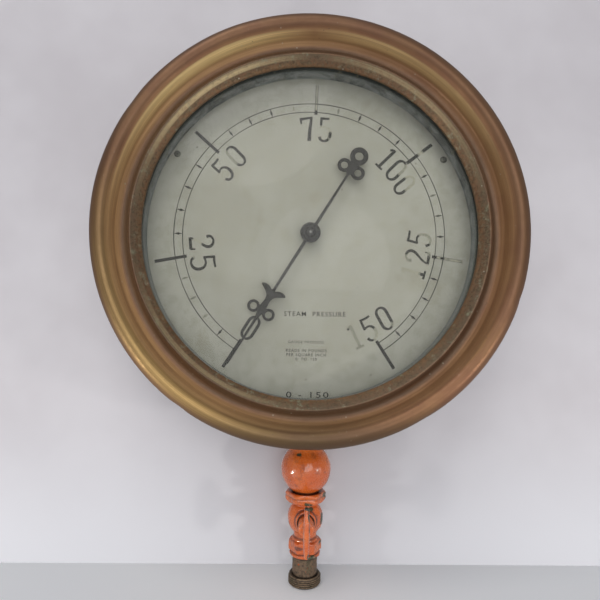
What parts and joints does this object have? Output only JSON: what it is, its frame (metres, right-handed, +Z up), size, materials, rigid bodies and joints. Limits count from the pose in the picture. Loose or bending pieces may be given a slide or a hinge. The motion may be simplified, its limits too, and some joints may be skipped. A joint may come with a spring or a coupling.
{
  "type": "steam pressure gauge",
  "caption": "Round dial steam pressure gauge with a brass ring, a bourdon tube movement and ornate pointer, standing on a painted ball siphon and plug cock with a threaded inlet.",
  "frame": {"origin": "centre of the case's flat back, on the gauge axis", "axes": "+X right seen from the dial side, +Y from the dial towards the back of the case, +Z up along the stem, whose axis is the line x = 0, y = -0.0238"},
  "size_m": [0.3174, 0.0847, 0.4329],
  "materials": {
    "black_iron": "black-japanned grey iron, satin, slightly pitted",
    "aged_brass": "spun brass gone brown-orange, polished on the crowns, dull in the hollows",
    "glass": "clear flat window glass",
    "seal": "flat black gasket sheet",
    "spacer_paint": "dull dark green-grey paint",
    "silvered_dial": "silvered brass plate, aged grey-green, matt, with black printed scale",
    "bright_brass": "clean lacquered brass",
    "bronze": "cast bronze, machined where it seats",
    "steel": "turned steel",
    "pointer_black": "blackened steel",
    "orange_paint": "thick glossy orange paint, chipped to dark metal and brass at edges",
    "dark_pipe": "bare pipe, dark brown with traces of old paint"
  },
  "bodies": {
    "gauge_body": {"case_shell": "black_iron", "bezel_ring": "aged_brass", "glass": "glass", "glass_gasket": "seal", "spacer_ring": "spacer_paint", "dial_plate": "silvered_dial", "dial_screw_1": "bright_brass", "dial_screw_2": "bright_brass", "socket": "bronze", "socket_screw_1": "steel", "socket_screw_2": "steel", "bourdon_tube": "bright_brass", "movement_back_plate": "bright_brass", "movement_front_plate": "bright_brass", "pillar_1": "bright_brass", "pillar_2": "bright_brass", "pillar_3": "bright_brass", "pillar_screw_1": "steel", "pillar_screw_2": "steel", "pillar_screw_3": "steel", "movement_screw_1": "steel", "movement_screw_2": "steel", "hairspring": "steel", "hairspring_stud": "bright_brass", "siphon_globe": "orange_paint", "siphon_tube": "bronze", "union_collar": "orange_paint", "cock_body": "orange_paint", "inlet_nipple": "dark_pipe", "inlet_ring": "dark_pipe"},
    "tube_end": {"tube_tip": "bronze", "tip_pin": "steel"},
    "link_set": {"link": "steel"},
    "sector_set": {"sector_gear": "bright_brass", "sector_arbor": "steel", "tail_pin": "steel"},
    "pointer_set": {"pointer": "pointer_black", "pointer_hub": "pointer_black", "center_arbor": "steel", "pinion": "bright_brass", "hairspring_collet": "bright_brass"},
    "plug_set": {"cock_plug": "orange_paint", "plug_washer": "bright_brass", "plug_nut": "bright_brass"}
  },
  "joints": [
    {"name": "pointer_spin", "type": "hinge", "parent": "gauge_body", "child": "pointer_set", "pos_m": [0, -0.0438, 0], "axis": [0, 1, 0], "range_deg": [0, 295], "deforming": ["hairspring"]},
    {"name": "sector_swing", "type": "hinge", "parent": "gauge_body", "child": "sector_set", "pos_m": [0.03463, -0.0234, -0.03537], "axis": [0, -1, 0], "range_deg": [0, 29.5]},
    {"name": "tube_flex", "type": "hinge", "parent": "gauge_body", "child": "tube_end", "pos_m": [-0.01509, -0.0238, 0.02342], "axis": [0, -1, 0], "range_deg": [0, 5.4], "deforming": ["bourdon_tube"]},
    {"name": "link_turn", "type": "hinge", "parent": "sector_set", "child": "link_set", "pos_m": [0.04653, -0.0256, -0.04606], "axis": [0, -1, 0], "range_deg": [-28.95, 0]},
    {"name": "cock_turn", "type": "hinge", "parent": "gauge_body", "child": "plug_set", "pos_m": [0, -0.0238, -0.2235], "axis": [0, 1, 0], "range_deg": [0, 90]}
  ],
  "couplings": [
    {"joint": "sector_swing", "follows": "pointer_spin", "ratio": 0.1},
    {"joint": "tube_flex", "follows": "pointer_spin", "ratio": 0.018279},
    {"joint": "link_turn", "follows": "pointer_spin", "ratio": -0.098}
  ]
}
